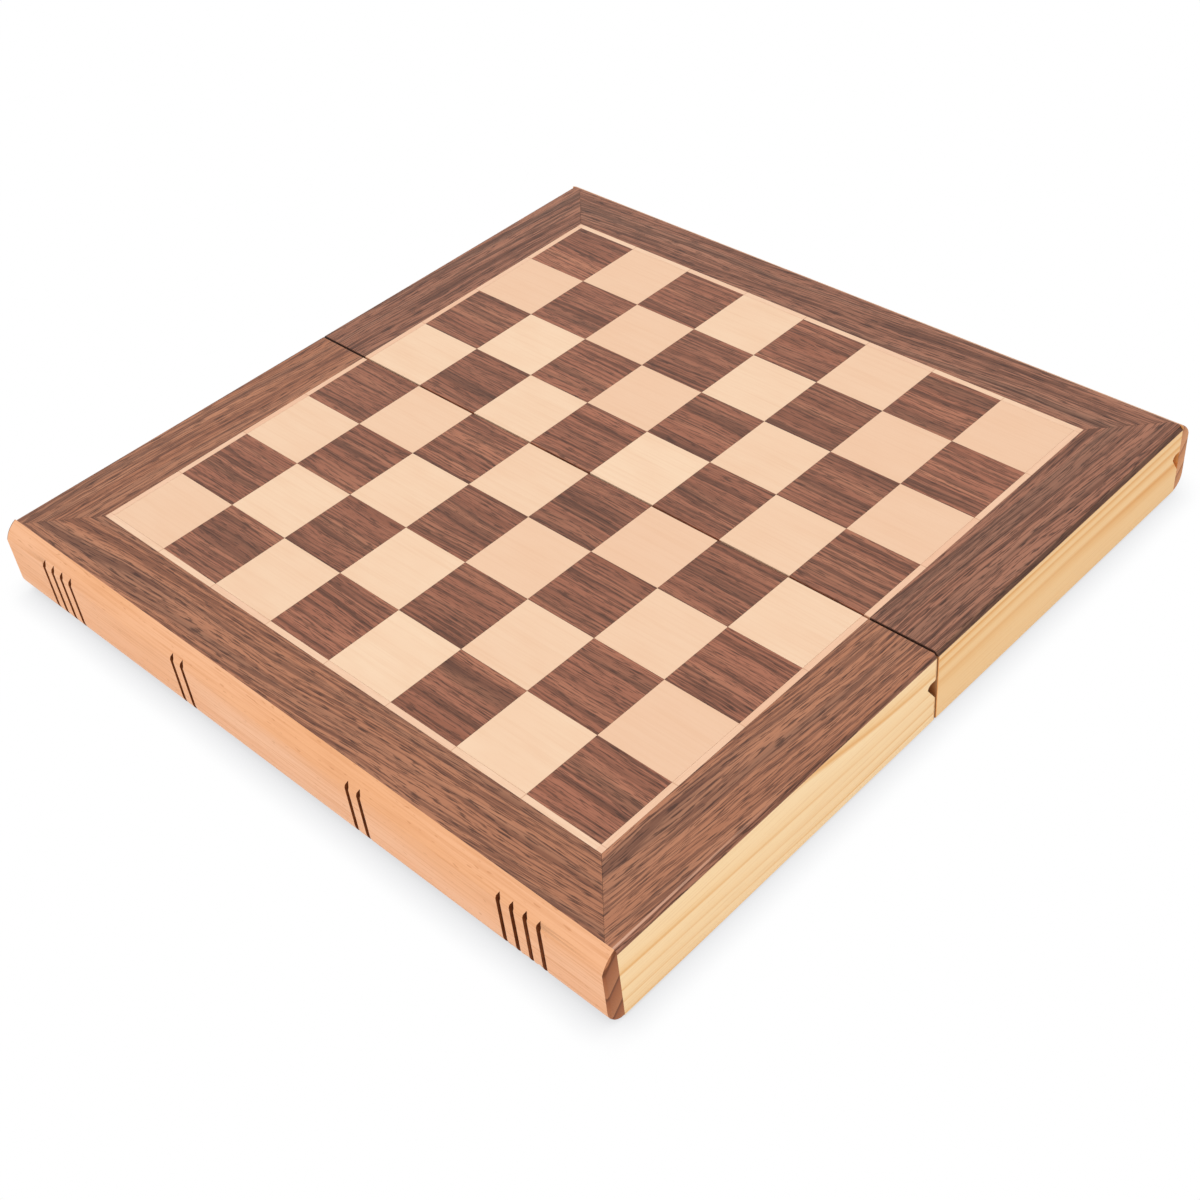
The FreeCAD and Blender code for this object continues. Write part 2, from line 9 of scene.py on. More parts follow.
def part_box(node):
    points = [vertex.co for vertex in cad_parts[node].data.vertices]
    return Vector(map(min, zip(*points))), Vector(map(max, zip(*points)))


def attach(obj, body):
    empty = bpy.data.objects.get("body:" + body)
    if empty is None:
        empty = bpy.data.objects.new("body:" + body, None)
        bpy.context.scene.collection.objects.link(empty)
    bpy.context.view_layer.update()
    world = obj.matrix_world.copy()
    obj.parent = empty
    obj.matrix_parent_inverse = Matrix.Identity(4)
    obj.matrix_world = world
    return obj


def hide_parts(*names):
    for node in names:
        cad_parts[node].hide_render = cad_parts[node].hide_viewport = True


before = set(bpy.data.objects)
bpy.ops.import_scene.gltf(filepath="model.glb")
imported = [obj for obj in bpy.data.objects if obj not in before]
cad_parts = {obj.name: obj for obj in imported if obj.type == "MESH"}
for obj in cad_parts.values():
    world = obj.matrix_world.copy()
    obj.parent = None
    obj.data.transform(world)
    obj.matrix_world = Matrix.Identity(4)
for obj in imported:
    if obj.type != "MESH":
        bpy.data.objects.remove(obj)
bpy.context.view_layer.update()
scene = bpy.context.scene
mm = 0.001
halves = {"near": -1, "far": 1}
print("solids loaded:", len(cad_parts))


def hexColour(code):
    # sRGB hex to linear
    levels = [int(code[place:place + 2], 16) / 255 for place in (1, 3, 5)]
    linear = [level / 12.92 if level <= 0.04045 else ((level + 0.055) / 1.055) ** 2.4 for level in levels]
    return (*linear, 1.0)


def addNode(tree, kind, inputs=None, stops=None, **settings):
    node = tree.nodes.new(kind)
    for name, value in settings.items():
        setattr(node, name, value)
    for socket, value in (inputs or {}).items():
        if isinstance(value, bpy.types.NodeSocket):
            tree.links.new(value, node.inputs[socket])
        else:
            node.inputs[socket].default_value = value
    if stops:
        ramp = node.color_ramp.elements
        while len(ramp) < len(stops):
            ramp.new(0.5)
        for element, (place, code) in zip(ramp, stops):
            element.position = place
            element.color = hexColour(code)
    return node


def newMaterial(name):
    material = bpy.data.materials.new(name)
    material.use_nodes = True
    material.node_tree.nodes.clear()
    return material, material.node_tree


def finishMaterial(tree, colour, look, bumpHeight=None):
    # Lacquered or plain surface; the constants go straight on the shader
    shader = addNode(tree, "ShaderNodeBsdfPrincipled", {
        "Roughness": look["roughness"],
        "Metallic": look.get("metallic", 0.0),
        "IOR": look.get("ior", 1.5),
        "Sheen Weight": look.get("sheen", 0.0),
    })
    if isinstance(colour, str):
        shader.inputs["Base Color"].default_value = hexColour(colour)
    else:
        tree.links.new(colour, shader.inputs["Base Color"])
    if bumpHeight is not None:
        bump = addNode(tree, "ShaderNodeBump", {
            "Height": bumpHeight, "Strength": look["bump"], "Distance": look["bumpDepth"] * mm,
        })
        tree.links.new(bump.outputs["Normal"], shader.inputs["Normal"])
    addNode(tree, "ShaderNodeOutputMaterial", {"Surface": shader.outputs["BSDF"]})


# How far apart in the log two veneers of a lot may lie, in metres
lotStride = (1.9, 2.7, 1.3)


def grainCoordinates(tree, turn, lot=None):
    # Object coordinates turned so that the grain runs along X. Each square of a lot has its own veneer.
    place = addNode(tree, "ShaderNodeTexCoord").outputs["Object"]
    turned = addNode(tree, "ShaderNodeMapping", {"Vector": place, "Rotation": (0, 0, turn)})
    vector = turned.outputs["Vector"]
    if lot:
        number = addNode(tree, "ShaderNodeAttribute", attribute_name=lot).outputs["Vector"]
        vector = addNode(tree, "ShaderNodeVectorMath", {0: number, 1: lotStride, 2: vector},
                         operation="MULTIPLY_ADD").outputs["Vector"]
    return vector


def fibres(tree, vector, along, across, detail=2.0, roughness=0.5):
    # Noise drawn out along the grain, with its size in millimetres
    scale = (1 / (along * mm), 1 / (across * mm), 1 / (across * mm))
    drawn = addNode(tree, "ShaderNodeMapping", {"Vector": vector, "Scale": scale})
    return addNode(tree, "ShaderNodeTexNoise", {
        "Vector": drawn.outputs["Vector"], "Scale": 1.0, "Detail": detail, "Roughness": roughness,
    }).outputs["Fac"]


def waver(tree, vector, along, across, amount):
    # Bends the grain sideways by a few millimetres
    noise = fibres(tree, vector, along, across, 1.0)
    shift = addNode(tree, "ShaderNodeMath", {0: noise, 1: 2 * amount * mm, 2: -amount * mm},
                    operation="MULTIPLY_ADD")
    offset = addNode(tree, "ShaderNodeCombineXYZ", {"Y": shift.outputs[0]})
    return addNode(tree, "ShaderNodeVectorMath", {0: vector, 1: offset.outputs["Vector"]},
                   operation="ADD").outputs["Vector"]


def overlay(tree, colour, noise, lowHigh, strength, code, blend="MIX"):
    # Lays a colour over another where the noise is high
    amount = addNode(tree, "ShaderNodeMapRange", {
        "Value": noise, "From Min": lowHigh[0], "From Max": lowHigh[1], "To Max": strength,
    })
    mix = addNode(tree, "ShaderNodeMix", {0: amount.outputs["Result"], 6: colour, 7: hexColour(code)},
                  data_type="RGBA", blend_type=blend)
    return mix.outputs[2]


# Black walnut veneer, sanded and oiled: brown heartwood in slow bands, under layers of darker marks.
# Each layer is its length along and width across the grain, the part of the noise that shows, its
# strength and its colour: broad grey streaks, growth lines, fine lines and open pores, which are drawn
# about twice as coarse as real ones. The far half is cut from a darker leaf.
walnutLook = {
    "bands": [(0.3, "#a3684a"), (0.5, "#b17555"), (0.7, "#bd8160")],
    "bandAlong": 260, "bandAcross": 8,
    "layers": (
        (360, 8.0, (0.55, 0.66), 0.5, "#5c4134"),
        (150, 1.7, (0.52, 0.62), 0.6, "#643a29"),
        (45, 0.9, (0.52, 0.6), 0.6, "#5a3325"),
        (10, 0.5, (0.54, 0.61), 0.8, "#432519"),
    ),
    "waverAlong": 100, "waverAcross": 16, "waver": 4.0,
    "roughness": 0.5, "ior": 1.35, "bump": 0.2, "bumpDepth": 0.05,
}
darkWalnutLook = dict(
    walnutLook,
    bands=[(0.3, "#925e47"), (0.5, "#a36c53"), (0.7, "#b27b60")],
    layers=(
        (360, 8.0, (0.53, 0.66), 0.55, "#4d372c"),
        (150, 1.7, (0.52, 0.61), 0.65, "#54301f"),
        (45, 0.9, (0.52, 0.6), 0.65, "#4d2b1e"),
        (10, 0.5, (0.54, 0.61), 0.8, "#3a1f14"),
    ),
)
# Painted shade on the bevels: darker walnut than on the top, the far bevel darkest
shadedBevelWalnutLook = dict(darkWalnutLook, bands=[(0.3, "#6f4936"), (0.5, "#7e5842"), (0.7, "#8e654d")])
walnutSquareLook = dict(
    walnutLook,
    bands=[(0.3, "#985d44"), (0.5, "#aa6b51"), (0.7, "#bb7b5d")],
    bandAlong=140, bandAcross=7,
    layers=(
        (200, 8.0, (0.53, 0.68), 0.5, "#4b3022"),
        (110, 1.7, (0.51, 0.62), 0.65, "#4f2e20"),
        (45, 0.9, (0.52, 0.62), 0.5, "#553322"),
        (8, 0.5, (0.54, 0.62), 0.7, "#3c2216"),
    ),
    waverAlong=60, waver=2.5, toneSpread=0.25, toneColour="#4b3022",
)
# End grain sawn across at the fold: dark end grain, painted darker still as shade in the gap between the
# halves
foldShadeWalnutLook = {"tones": [(0.3, "#3b2114"), (0.7, "#523020")], "fibre": 2.5, "roughness": 0.7}
# Painted highlight along the arris, pale towards the near corner like a lamp's reflection: how far it runs
# from the spine
arrisHighlightLook = dict(walnutLook, highlightColour="#e0b096", highlightFrom=185, highlightTo=85, highlightStrength=0.75)


def walnut(name, look, turn, lot=None):
    material, tree = newMaterial(name)
    vector = grainCoordinates(tree, turn, lot)
    bent = waver(tree, vector, look["waverAlong"], look["waverAcross"], look["waver"])
    bands = fibres(tree, bent, look["bandAlong"], look["bandAcross"], 2.0)
    colour = addNode(tree, "ShaderNodeValToRGB", {"Fac": bands}, look["bands"]).outputs["Color"]
    for along, across, shown, strength, code in look["layers"]:
        marks = fibres(tree, bent, along, across, 2.0)
        colour = overlay(tree, colour, marks, shown, strength, code)
    if lot:
        tone = addNode(tree, "ShaderNodeAttribute", attribute_name=lot).outputs["Fac"]
        colour = overlay(tree, colour, tone, (0.0, 1.0), look["toneSpread"], look["toneColour"])
    # Painted highlight: a pale colour laid along the arris, strongest towards the spine
    if "highlightColour" in look:
        place = addNode(tree, "ShaderNodeSeparateXYZ", {"Vector": vector}).outputs["X"]
        highlightRange = (-look["highlightTo"] * mm, -look["highlightFrom"] * mm)
        colour = overlay(tree, colour, place, highlightRange, look["highlightStrength"], look["highlightColour"])
    finishMaterial(tree, colour, look, marks)
    return material


# Hard maple veneer, sanded and oiled: even peach cream with faint fine streaks
mapleLook = {
    "tones": [(0.0, "#eec3a2"), (0.5, "#f3cfae"), (1.0, "#f6d5b4")],
    "streakAlong": 45, "streakAcross": 1.2, "streakRange": (0.45, 0.75), "streakStrength": 0.3,
    "streakColour": "#e4b48d",
    "cloudAlong": 30, "cloudAcross": 14, "cloudRange": (0.4, 0.7), "cloudStrength": 0.25,
    "cloudColour": "#ecbd99",
    "roughness": 0.5, "ior": 1.35,
}
# The stringing was glued on square by square, so it has a butt joint at each one
stringingLook = dict(
    mapleLook, tones=[(0.0, "#f0c5a6"), (1.0, "#f5d0b0")], streakAlong=12, streakAcross=0.6,
    streakStrength=0.4, streakColour="#deaa82",
    length=38.0, firstJoint=0.0, lastLength=3.5,
    jointRange=(0.009, 0.004), jointStrength=0.45, jointColour="#c08a66",
)
sideStringingLook = dict(stringingLook, tones=[(0.0, "#eebd9c"), (1.0, "#f2c8a8")], firstJoint=0.5)


def maple(name, look, turn, lot=None):
    material, tree = newMaterial(name)
    vector = grainCoordinates(tree, turn, lot)
    if lot:
        tone = addNode(tree, "ShaderNodeAttribute", attribute_name=lot).outputs["Fac"]
    else:
        along = addNode(tree, "ShaderNodeSeparateXYZ", {"Vector": vector}).outputs["X"]
        along = addNode(tree, "ShaderNodeMath", {0: along}, operation="ABSOLUTE").outputs[0]
        lengths = addNode(tree, "ShaderNodeMath", {
            0: along, 1: 1 / (look["length"] * mm), 2: -look["firstJoint"] / look["length"],
        }, operation="MULTIPLY_ADD").outputs[0]
        number = addNode(tree, "ShaderNodeMath", {0: lengths}, operation="FLOOR")
        tone = addNode(tree, "ShaderNodeTexWhiteNoise", {"W": number.outputs[0]},
                       noise_dimensions="1D").outputs["Value"]
    colour = addNode(tree, "ShaderNodeValToRGB", {"Fac": tone}, look["tones"]).outputs["Color"]
    clouds = fibres(tree, vector, look["cloudAlong"], look["cloudAcross"], 2.0)
    colour = overlay(tree, colour, clouds, look["cloudRange"], look["cloudStrength"], look["cloudColour"])
    streaks = fibres(tree, vector, look["streakAlong"], look["streakAcross"], 3.0, 0.6)
    colour = overlay(tree, colour, streaks, look["streakRange"], look["streakStrength"],
                     look["streakColour"])
    if not lot:
        # No joint beyond the third one, which is the last before the corner
        jointed = addNode(tree, "ShaderNodeMath", {0: lengths, 1: look["lastLength"]},
                          operation="MINIMUM").outputs[0]
        joint = addNode(tree, "ShaderNodeMath", {0: jointed, 1: 0.5}, operation="PINGPONG").outputs[0]
        colour = overlay(tree, colour, joint, look["jointRange"], look["jointStrength"], look["jointColour"])
    finishMaterial(tree, colour, look)
    return material


# Pine, planed and oiled: pale yellow early wood that deepens to an orange late line in each year ring.
# The heart of the log lies inside the wall, so the rings cut its face as bands along the length, broadest
# level with the heart. The near board has its heart high, the far one low and with more orange bands.
nearPineLook = {
    "ring": [(0.0, "#fcdcac"), (0.55, "#fad6a3"), (0.78, "#f5ca90"), (0.89, "#e8ad68"), (0.94, "#f2c489"),
             (1.0, "#fcdcac")],
    "ringWidth": 3.0, "ringUneven": 0.6, "unevenSize": 22,
    "heartIn": 111.1, "heartHigh": 45,
    "waverAlong": 300, "waverAcross": 60, "waver": 4.0,
    "fibreAlong": 60, "fibreAcross": 0.6, "fibreRange": (0.5, 0.75), "fibreStrength": 0.35,
    "fibreColour": "#e2aa6a",
    "paleAlong": 260, "paleAcross": 13, "paleRange": (0.4, 0.65), "paleStrength": 0.6,
    "paleColour": "#f9d6a4",
    "roughness": 0.5, "ior": 1.35,
}
farPineLook = dict(
    nearPineLook,
    ring=[(0.0, "#f4cb93"), (0.3, "#f3c88e"), (0.6, "#ecb673"), (0.76, "#e29f52"), (0.88, "#ecb776"),
          (1.0, "#f4cb93")],
    ringWidth=1.5, heartIn=105.8, heartHigh=5, waver=1.0, paleColour="#f2c88f", paleStrength=0.5,
)
# The faces that meet at the fold, with painted shade: brown where the other half lies close
foldPineShadeLook = dict(
    nearPineLook, shadeReach=12.0, shadeRange=(0.85, 0.35), shadeStrength=0.9, shadeColour="#a8652f",
)
# Sawn groove and wall ends, painted orange brown as shade in the groove and the fold gap, darkest on the
# near half, which the far half shades
groovePineShadeLook = {"tones": [(0.3, "#c07a42"), (0.7, "#dc9656")], "fibre": 2.5, "roughness": 0.6}
farGroovePineShadeLook = dict(groovePineShadeLook, tones=[(0.3, "#e39850"), (0.7, "#f2b26a")])


def pine(name, look, turn):
    material, tree = newMaterial(name)
    vector = grainCoordinates(tree, turn)
    bent = waver(tree, vector, look["waverAlong"], look["waverAcross"], look["waver"])
    parts = addNode(tree, "ShaderNodeSeparateXYZ", {"Vector": bent})
    outward = addNode(tree, "ShaderNodeMath", {0: parts.outputs["Y"]}, operation="ABSOLUTE")
    fromHeart = addNode(tree, "ShaderNodeCombineXYZ", {
        "Y": addNode(tree, "ShaderNodeMath", {0: outward.outputs[0], 1: look["heartIn"] * mm},
                     operation="SUBTRACT").outputs[0],
        "Z": addNode(tree, "ShaderNodeMath", {0: parts.outputs["Z"], 1: look["heartHigh"] * mm},
                     operation="SUBTRACT").outputs[0],
    })
    radius = addNode(tree, "ShaderNodeVectorMath", {0: fromHeart.outputs["Vector"]}, operation="LENGTH")
    years = addNode(tree, "ShaderNodeMath", {0: radius.outputs["Value"], 1: 1 / (look["ringWidth"] * mm)},
                    operation="MULTIPLY")
    uneven = fibres(tree, bent, look["waverAlong"], look["unevenSize"], 1.0)
    rings = addNode(tree, "ShaderNodeMath", {0: uneven, 1: look["ringUneven"], 2: years.outputs[0]},
                    operation="MULTIPLY_ADD")
    phase = addNode(tree, "ShaderNodeMath", {0: rings.outputs[0]}, operation="FRACT")
    colour = addNode(tree, "ShaderNodeValToRGB", {"Fac": phase.outputs[0]}, look["ring"]).outputs["Color"]
    pale = fibres(tree, bent, look["paleAlong"], look["paleAcross"], 1.0)
    colour = overlay(tree, colour, pale, look["paleRange"], look["paleStrength"], look["paleColour"])
    fine = fibres(tree, bent, look["fibreAlong"], look["fibreAcross"], 2.0)
    colour = overlay(tree, colour, fine, look["fibreRange"], look["fibreStrength"], look["fibreColour"])
    # Painted shade: brown where ambient occlusion finds another part close by
    if "shadeReach" in look:
        gap = addNode(tree, "ShaderNodeAmbientOcclusion", {"Distance": look["shadeReach"] * mm}).outputs["AO"]
        colour = overlay(tree, colour, gap, look["shadeRange"], look["shadeStrength"], look["shadeColour"])
    finishMaterial(tree, colour, look)
    return material


# Red alder, planed and oiled: even orange tan, fine short fibres, a few long lines and small dark flecks
alderLook = {
    "patches": [(0.3, "#efaf7e"), (0.5, "#f2b68a"), (0.7, "#f4bd95")],
    "patchAlong": 110, "patchAcross": 18,
    "fibreAlong": 36, "fibreAcross": 0.8, "fibreRange": (0.45, 0.75), "fibreStrength": 0.7,
    "fibreColour": "#d99562",
    "lineAlong": 320, "lineAcross": 3.2, "lineRange": (0.64, 0.72), "lineStrength": 0.35,
    "lineColour": "#d08a55",
    "fleckAlong": 4.5, "fleckAcross": 0.9, "fleckRange": (0.75, 0.81), "fleckStrength": 0.45,
    "fleckColour": "#c27c4a",
    "roughness": 0.5, "ior": 1.35,
}
# The far strip is from a browner board
farAlderLook = dict(
    alderLook, patches=[(0.3, "#cf9468"), (0.5, "#d69e74"), (0.7, "#dca87f")],
    fibreColour="#b5794c", lineColour="#a96b40", fleckColour="#99603a",
)
# Sawn end grain of the same strip soaks up the lacquer and turns red brown, with dark slanting year rings
alderEndLook = {
    "ring": [(0.0, "#b07048"), (0.5, "#a3623a"), (0.8, "#96552f"), (0.95, "#6b3819"), (1.0, "#854b2a")],
    "ringWidth": 9.5, "slant": (0.0, -0.72, 0.69), "bend": 5.0, "bendSize": 40,
    "speckSize": 0.5, "speckRange": (0.5, 0.7), "speckStrength": 0.3, "speckColour": "#844d2d",
    "roughness": 0.6, "ior": 1.35,
}
farAlderEndLook = dict(
    alderEndLook, speckColour="#a86a44",
    ring=[(0.0, "#d39668"), (0.5, "#c88a5c"), (0.8, "#bb7c4e"), (0.95, "#94592f"), (1.0, "#a86c42")],
)


def alder(name, look):
    material, tree = newMaterial(name)
    vector = grainCoordinates(tree, 0.0)
    patches = fibres(tree, vector, look["patchAlong"], look["patchAcross"], 1.0)
    colour = addNode(tree, "ShaderNodeValToRGB", {"Fac": patches}, look["patches"]).outputs["Color"]
    fine = fibres(tree, vector, look["fibreAlong"], look["fibreAcross"], 3.0, 0.6)
    colour = overlay(tree, colour, fine, look["fibreRange"], look["fibreStrength"], look["fibreColour"])
    lines = fibres(tree, vector, look["lineAlong"], look["lineAcross"], 1.0)
    colour = overlay(tree, colour, lines, look["lineRange"], look["lineStrength"], look["lineColour"])
    flecks = fibres(tree, vector, look["fleckAlong"], look["fleckAcross"], 0.0)
    colour = overlay(tree, colour, flecks, look["fleckRange"], look["fleckStrength"], look["fleckColour"])
    finishMaterial(tree, colour, look)
    return material


def alderEndGrain(name, look):
    material, tree = newMaterial(name)
    vector = grainCoordinates(tree, 0.0)
    bend = fibres(tree, vector, look["bendSize"], look["bendSize"], 1.0)
    across = addNode(tree, "ShaderNodeVectorMath", {0: vector, 1: look["slant"]}, operation="DOT_PRODUCT")
    moved = addNode(tree, "ShaderNodeMath", {0: bend, 1: look["bend"] * mm, 2: across.outputs["Value"]},
                    operation="MULTIPLY_ADD")
    years = addNode(tree, "ShaderNodeMath", {0: moved.outputs[0], 1: 1 / (look["ringWidth"] * mm)},
                    operation="MULTIPLY")
    phase = addNode(tree, "ShaderNodeMath", {0: years.outputs[0]}, operation="FRACT")
    colour = addNode(tree, "ShaderNodeValToRGB", {"Fac": phase.outputs[0]}, look["ring"]).outputs["Color"]
    specks = fibres(tree, vector, look["speckSize"], look["speckSize"], 1.0)
    colour = overlay(tree, colour, specks, look["speckRange"], look["speckStrength"], look["speckColour"])
    finishMaterial(tree, colour, look)
    return material


# Saw kerf burnt by the blade: dull dark brown, darkest in patches
charLook = {
    "tones": [(0.3, "#6c3412"), (0.7, "#8f4d20")], "fibre": 3.0, "detail": 2.0, "grit": 0.5,
    "roughness": 0.75, "ior": 1.3,
}
# Pressed wool felt: dull green, mottled, with a soft nap
feltLook = {
    "tones": [(0.3, "#1d4a33"), (0.7, "#2a6245")], "fibre": 1.4, "roughness": 0.95, "sheen": 0.35,
    "bump": 0.6, "bumpDepth": 0.3,
}
# Sanded birch plywood, hardly seen round the felt
plyLook = {"tones": [(0.3, "#dcb888"), (0.7, "#e8c99d")], "fibre": 6.0, "roughness": 0.6}


def mottled(name, look, bumpy=False):
    material, tree = newMaterial(name)
    vector = grainCoordinates(tree, 0.0)
    size = look["fibre"]
    noise = fibres(tree, vector, size, size, look.get("detail", 3.0), look.get("grit", 0.6))
    colour = addNode(tree, "ShaderNodeValToRGB", {"Fac": noise}, look["tones"]).outputs["Color"]
    finishMaterial(tree, colour, look, noise if bumpy else None)
    return material


# Polished rolled brass, drawn steel pin, nickel-plated magnet and moulded black rubber
plainLooks = {
    "brass": {"colour": "#d9b36c", "metallic": 1.0, "roughness": 0.26},
    "steel": {"colour": "#b9bbbd", "metallic": 1.0, "roughness": 0.3},
    "nickel": {"colour": "#c9c4b8", "metallic": 1.0, "roughness": 0.22},
    "rubber": {"colour": "#242424", "roughness": 0.7},
}


def plainMaterial(name, look):
    material, tree = newMaterial(name)
    finishMaterial(tree, look["colour"], look)
    return material


# The grain runs along each border, a little askew as veneer is cut
quarterTurn = -math.pi / 2
askew = {"sides": 0.05, "ends": -0.04}
walnutSides = {
    "near": walnut("walnutAlongNearSides", walnutLook, quarterTurn + askew["sides"]),
    "far": walnut("walnutAlongFarSides", darkWalnutLook, quarterTurn + askew["sides"]),
}
walnutEnds = {
    "near": walnut("walnutAlongNearSpine", walnutLook, askew["ends"]),
    "far": walnut("walnutAlongFarSpine", darkWalnutLook, askew["ends"]),
}
# The bevels carry painted shade
walnutBevelShades = {
    "near": walnut("walnutNearBevelPaintedShade", darkWalnutLook, quarterTurn),
    "far": walnut("walnutFarBevelPaintedShade", shadedBevelWalnutLook, quarterTurn),
}
walnutArrisHighlight = walnut("walnutPaintedArrisHighlight", arrisHighlightLook, quarterTurn)
walnutFoldShade = mottled("walnutPaintedFoldShade", foldShadeWalnutLook)
walnutSquares = walnut("walnutSquares", walnutSquareLook, 0.0, "veneerLot")
mapleSquares = maple("mapleSquares", mapleLook, 0.0, "veneerLot")
stringingSides = maple("mapleStringingAlongSides", sideStringingLook, quarterTurn)
stringingEnds = maple("mapleStringingAlongSpine", stringingLook, 0.0)
pineSides = {
    "near": pine("pineAlongNearSides", nearPineLook, quarterTurn),
    "far": pine("pineAlongFarSides", farPineLook, quarterTurn),
}
pineEnds = pine("pineAlongSpine", nearPineLook, 0.0)
pineGapShade = pine("pineGapPaintedShade", foldPineShadeLook, 0.0)
groovePineShade = {
    "near": mottled("pineNearGroovePaintedShade", groovePineShadeLook),
    "far": mottled("pineFarGroovePaintedShade", farGroovePineShadeLook),
}
alderFaces = {
    "near": alder("alderNearFace", alderLook),
    "far": alder("alderFarFace", farAlderLook),
}
alderEnds = {
    "near": alderEndGrain("alderNearEndGrain", alderEndLook),
    "far": alderEndGrain("alderFarEndGrain", farAlderEndLook),
}
kerfChar = mottled("charredKerf", charLook)
feltCloth = mottled("woolFelt", feltLook, True)
plywood = mottled("birchPlywood", plyLook)
plain = {name: plainMaterial(name, look) for name, look in plainLooks.items()}
print("materials made:", len(bpy.data.materials))


def dressNode(name, material):
    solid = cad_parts[name]
    solid.data.materials.clear()
    solid.data.materials.append(material)


for half in halves:
    dressNode(f"{half}_end_border", walnutEnds[half])
    dressNode(f"{half}_end_stringing", stringingEnds)
    dressNode(f"{half}_deck_panel", plywood)
    dressNode(f"{half}_hinge_screws", plain["brass"])
    dressNode(f"{half}_magnets", plain["nickel"])
    dressNode(f"{half}_bumpers", plain["rubber"])
    for side in ("left", "right"):
        dressNode(f"{half}_{side}_hinge_leaf", plain["brass"])
for side in ("left", "right"):
    dressNode(f"{side}_hinge_pin", plain["steel"])
print("solids dressed")


# Arrises that were eased with sandpaper: widths, and how far an edge may lie from the line named
easing = {
    "width": 0.45, "foldWidth": 0.6, "inlayWidth": 0.3, "spineWidth": 1.0, "steps": 2, "reach": 0.02,
    "weld": 0.001, "flatAngle": 0.5, "sharpAngle": 25, "smoothAngle": 22,
}


def easeEdges(mesh, wanted, width):
    # Bevels the sharp edges that wanted picks by their middle
    shape = bmesh.new()
    shape.from_mesh(mesh)
    bmesh.ops.remove_doubles(shape, verts=shape.verts, dist=easing["weld"] * mm)
    bmesh.ops.dissolve_limit(shape, angle_limit=math.radians(easing["flatAngle"]), verts=shape.verts,
                             edges=shape.edges)
    picked = []
    for edge in shape.edges:
        if len(edge.link_faces) == 2 and edge.calc_face_angle() > math.radians(easing["sharpAngle"]):
            if wanted((edge.verts[0].co + edge.verts[1].co) / 2 / mm):
                picked.append(edge)
    bmesh.ops.bevel(shape, geom=picked, offset=width * mm, offset_type="OFFSET", segments=easing["steps"],
                    profile=0.5, affect="EDGES", clamp_overlap=True)
    shape.to_mesh(mesh)
    shape.free()
    for face in mesh.polygons:
        face.use_smooth = True
    mesh.set_sharp_from_angle(angle=math.radians(easing["smoothAngle"]))
    return len(picked)


def easedCopy(node, materials, wanted, width=easing["width"]):
    # A sanded copy of a solid that stands in for it
    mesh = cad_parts[node].data.copy()
    count = easeEdges(mesh, wanted, width)
    mesh.materials.clear()
    for material in materials:
        mesh.materials.append(material)
    piece = bpy.data.objects.new(f"{node}_eased", mesh)
    scene.collection.objects.link(piece)
    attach(piece, "near_half" if node.startswith("near") else "far_half")
    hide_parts(node)
    print("eased", node, count, "edges")
    return piece


def nearTo(value, target):
    return abs(value - target) < easing["reach"]


# Cuts in the solids, and the lines that are eased or painted, read from the far right corner
cuts = {"bevel": 1.7, "kerf": 2.0, "groove": 5.2, "grooveLow": 14.2, "grooveHigh": 24.2}
wallLow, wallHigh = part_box("far_right_wall")
rimHeight = wallLow.z / mm
foldEdge = wallLow.y / mm
sideFace = wallHigh.x / mm
frameEnd = wallHigh.y / mm
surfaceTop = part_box("far_right_border")[1].z / mm
bevelTop = sideFace - cuts["bevel"]
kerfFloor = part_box("far_spine_strip")[1].y / mm - cuts["kerf"]
# The least part of a face's normal along an axis for the face to count as turned that way
leastTurns = {
    "foldFace": 0.8, "foldArris": 0.3, "arris": 0.1, "bevel": 0.7, "kerfWall": 0.36, "sideFace": 0.5,
}


def onRim(spot):
    return nearTo(spot.z, rimHeight)


def onFoldArris(spot):
    return nearTo(abs(spot.x), sideFace) and nearTo(abs(spot.y), foldEdge)


def onFoldEdge(spot):
    return nearTo(spot.z, surfaceTop) and nearTo(abs(spot.y), foldEdge)


def onBorderArris(spot):
    return onFoldEdge(spot) or (nearTo(spot.z, surfaceTop) and nearTo(abs(spot.x), bevelTop))


def onSpineEnd(spot):
    return nearTo(abs(spot.x), sideFace) and abs(spot.y) > frameEnd + easing["reach"]


def paintGroove(wall, half):
    # The near half has its groove at the fold, the far half at the spine
    mouth = foldEdge if half == "near" else frameEnd
    for face in wall.data.polygons:
        spot = face.center / mm
        level = cuts["grooveLow"] - easing["reach"] < spot.z < cuts["grooveHigh"] + easing["reach"]
        inside = easing["reach"] < abs(abs(spot.y) - mouth) < cuts["groove"] + easing["reach"]
        # Groove faces take the painted shade
        if level and inside and abs(face.normal.x) < leastTurns["sideFace"]:
            face.material_index = 1


def paintFold(piece, index, leastTurn=leastTurns["foldFace"]):
    # Faces at the fold that are turned to the other half, which take painted shade
    for face in piece.data.polygons:
        if abs(face.normal.y) > leastTurn and abs(face.center.y) < 2 * foldEdge * mm:
            face.material_index = index


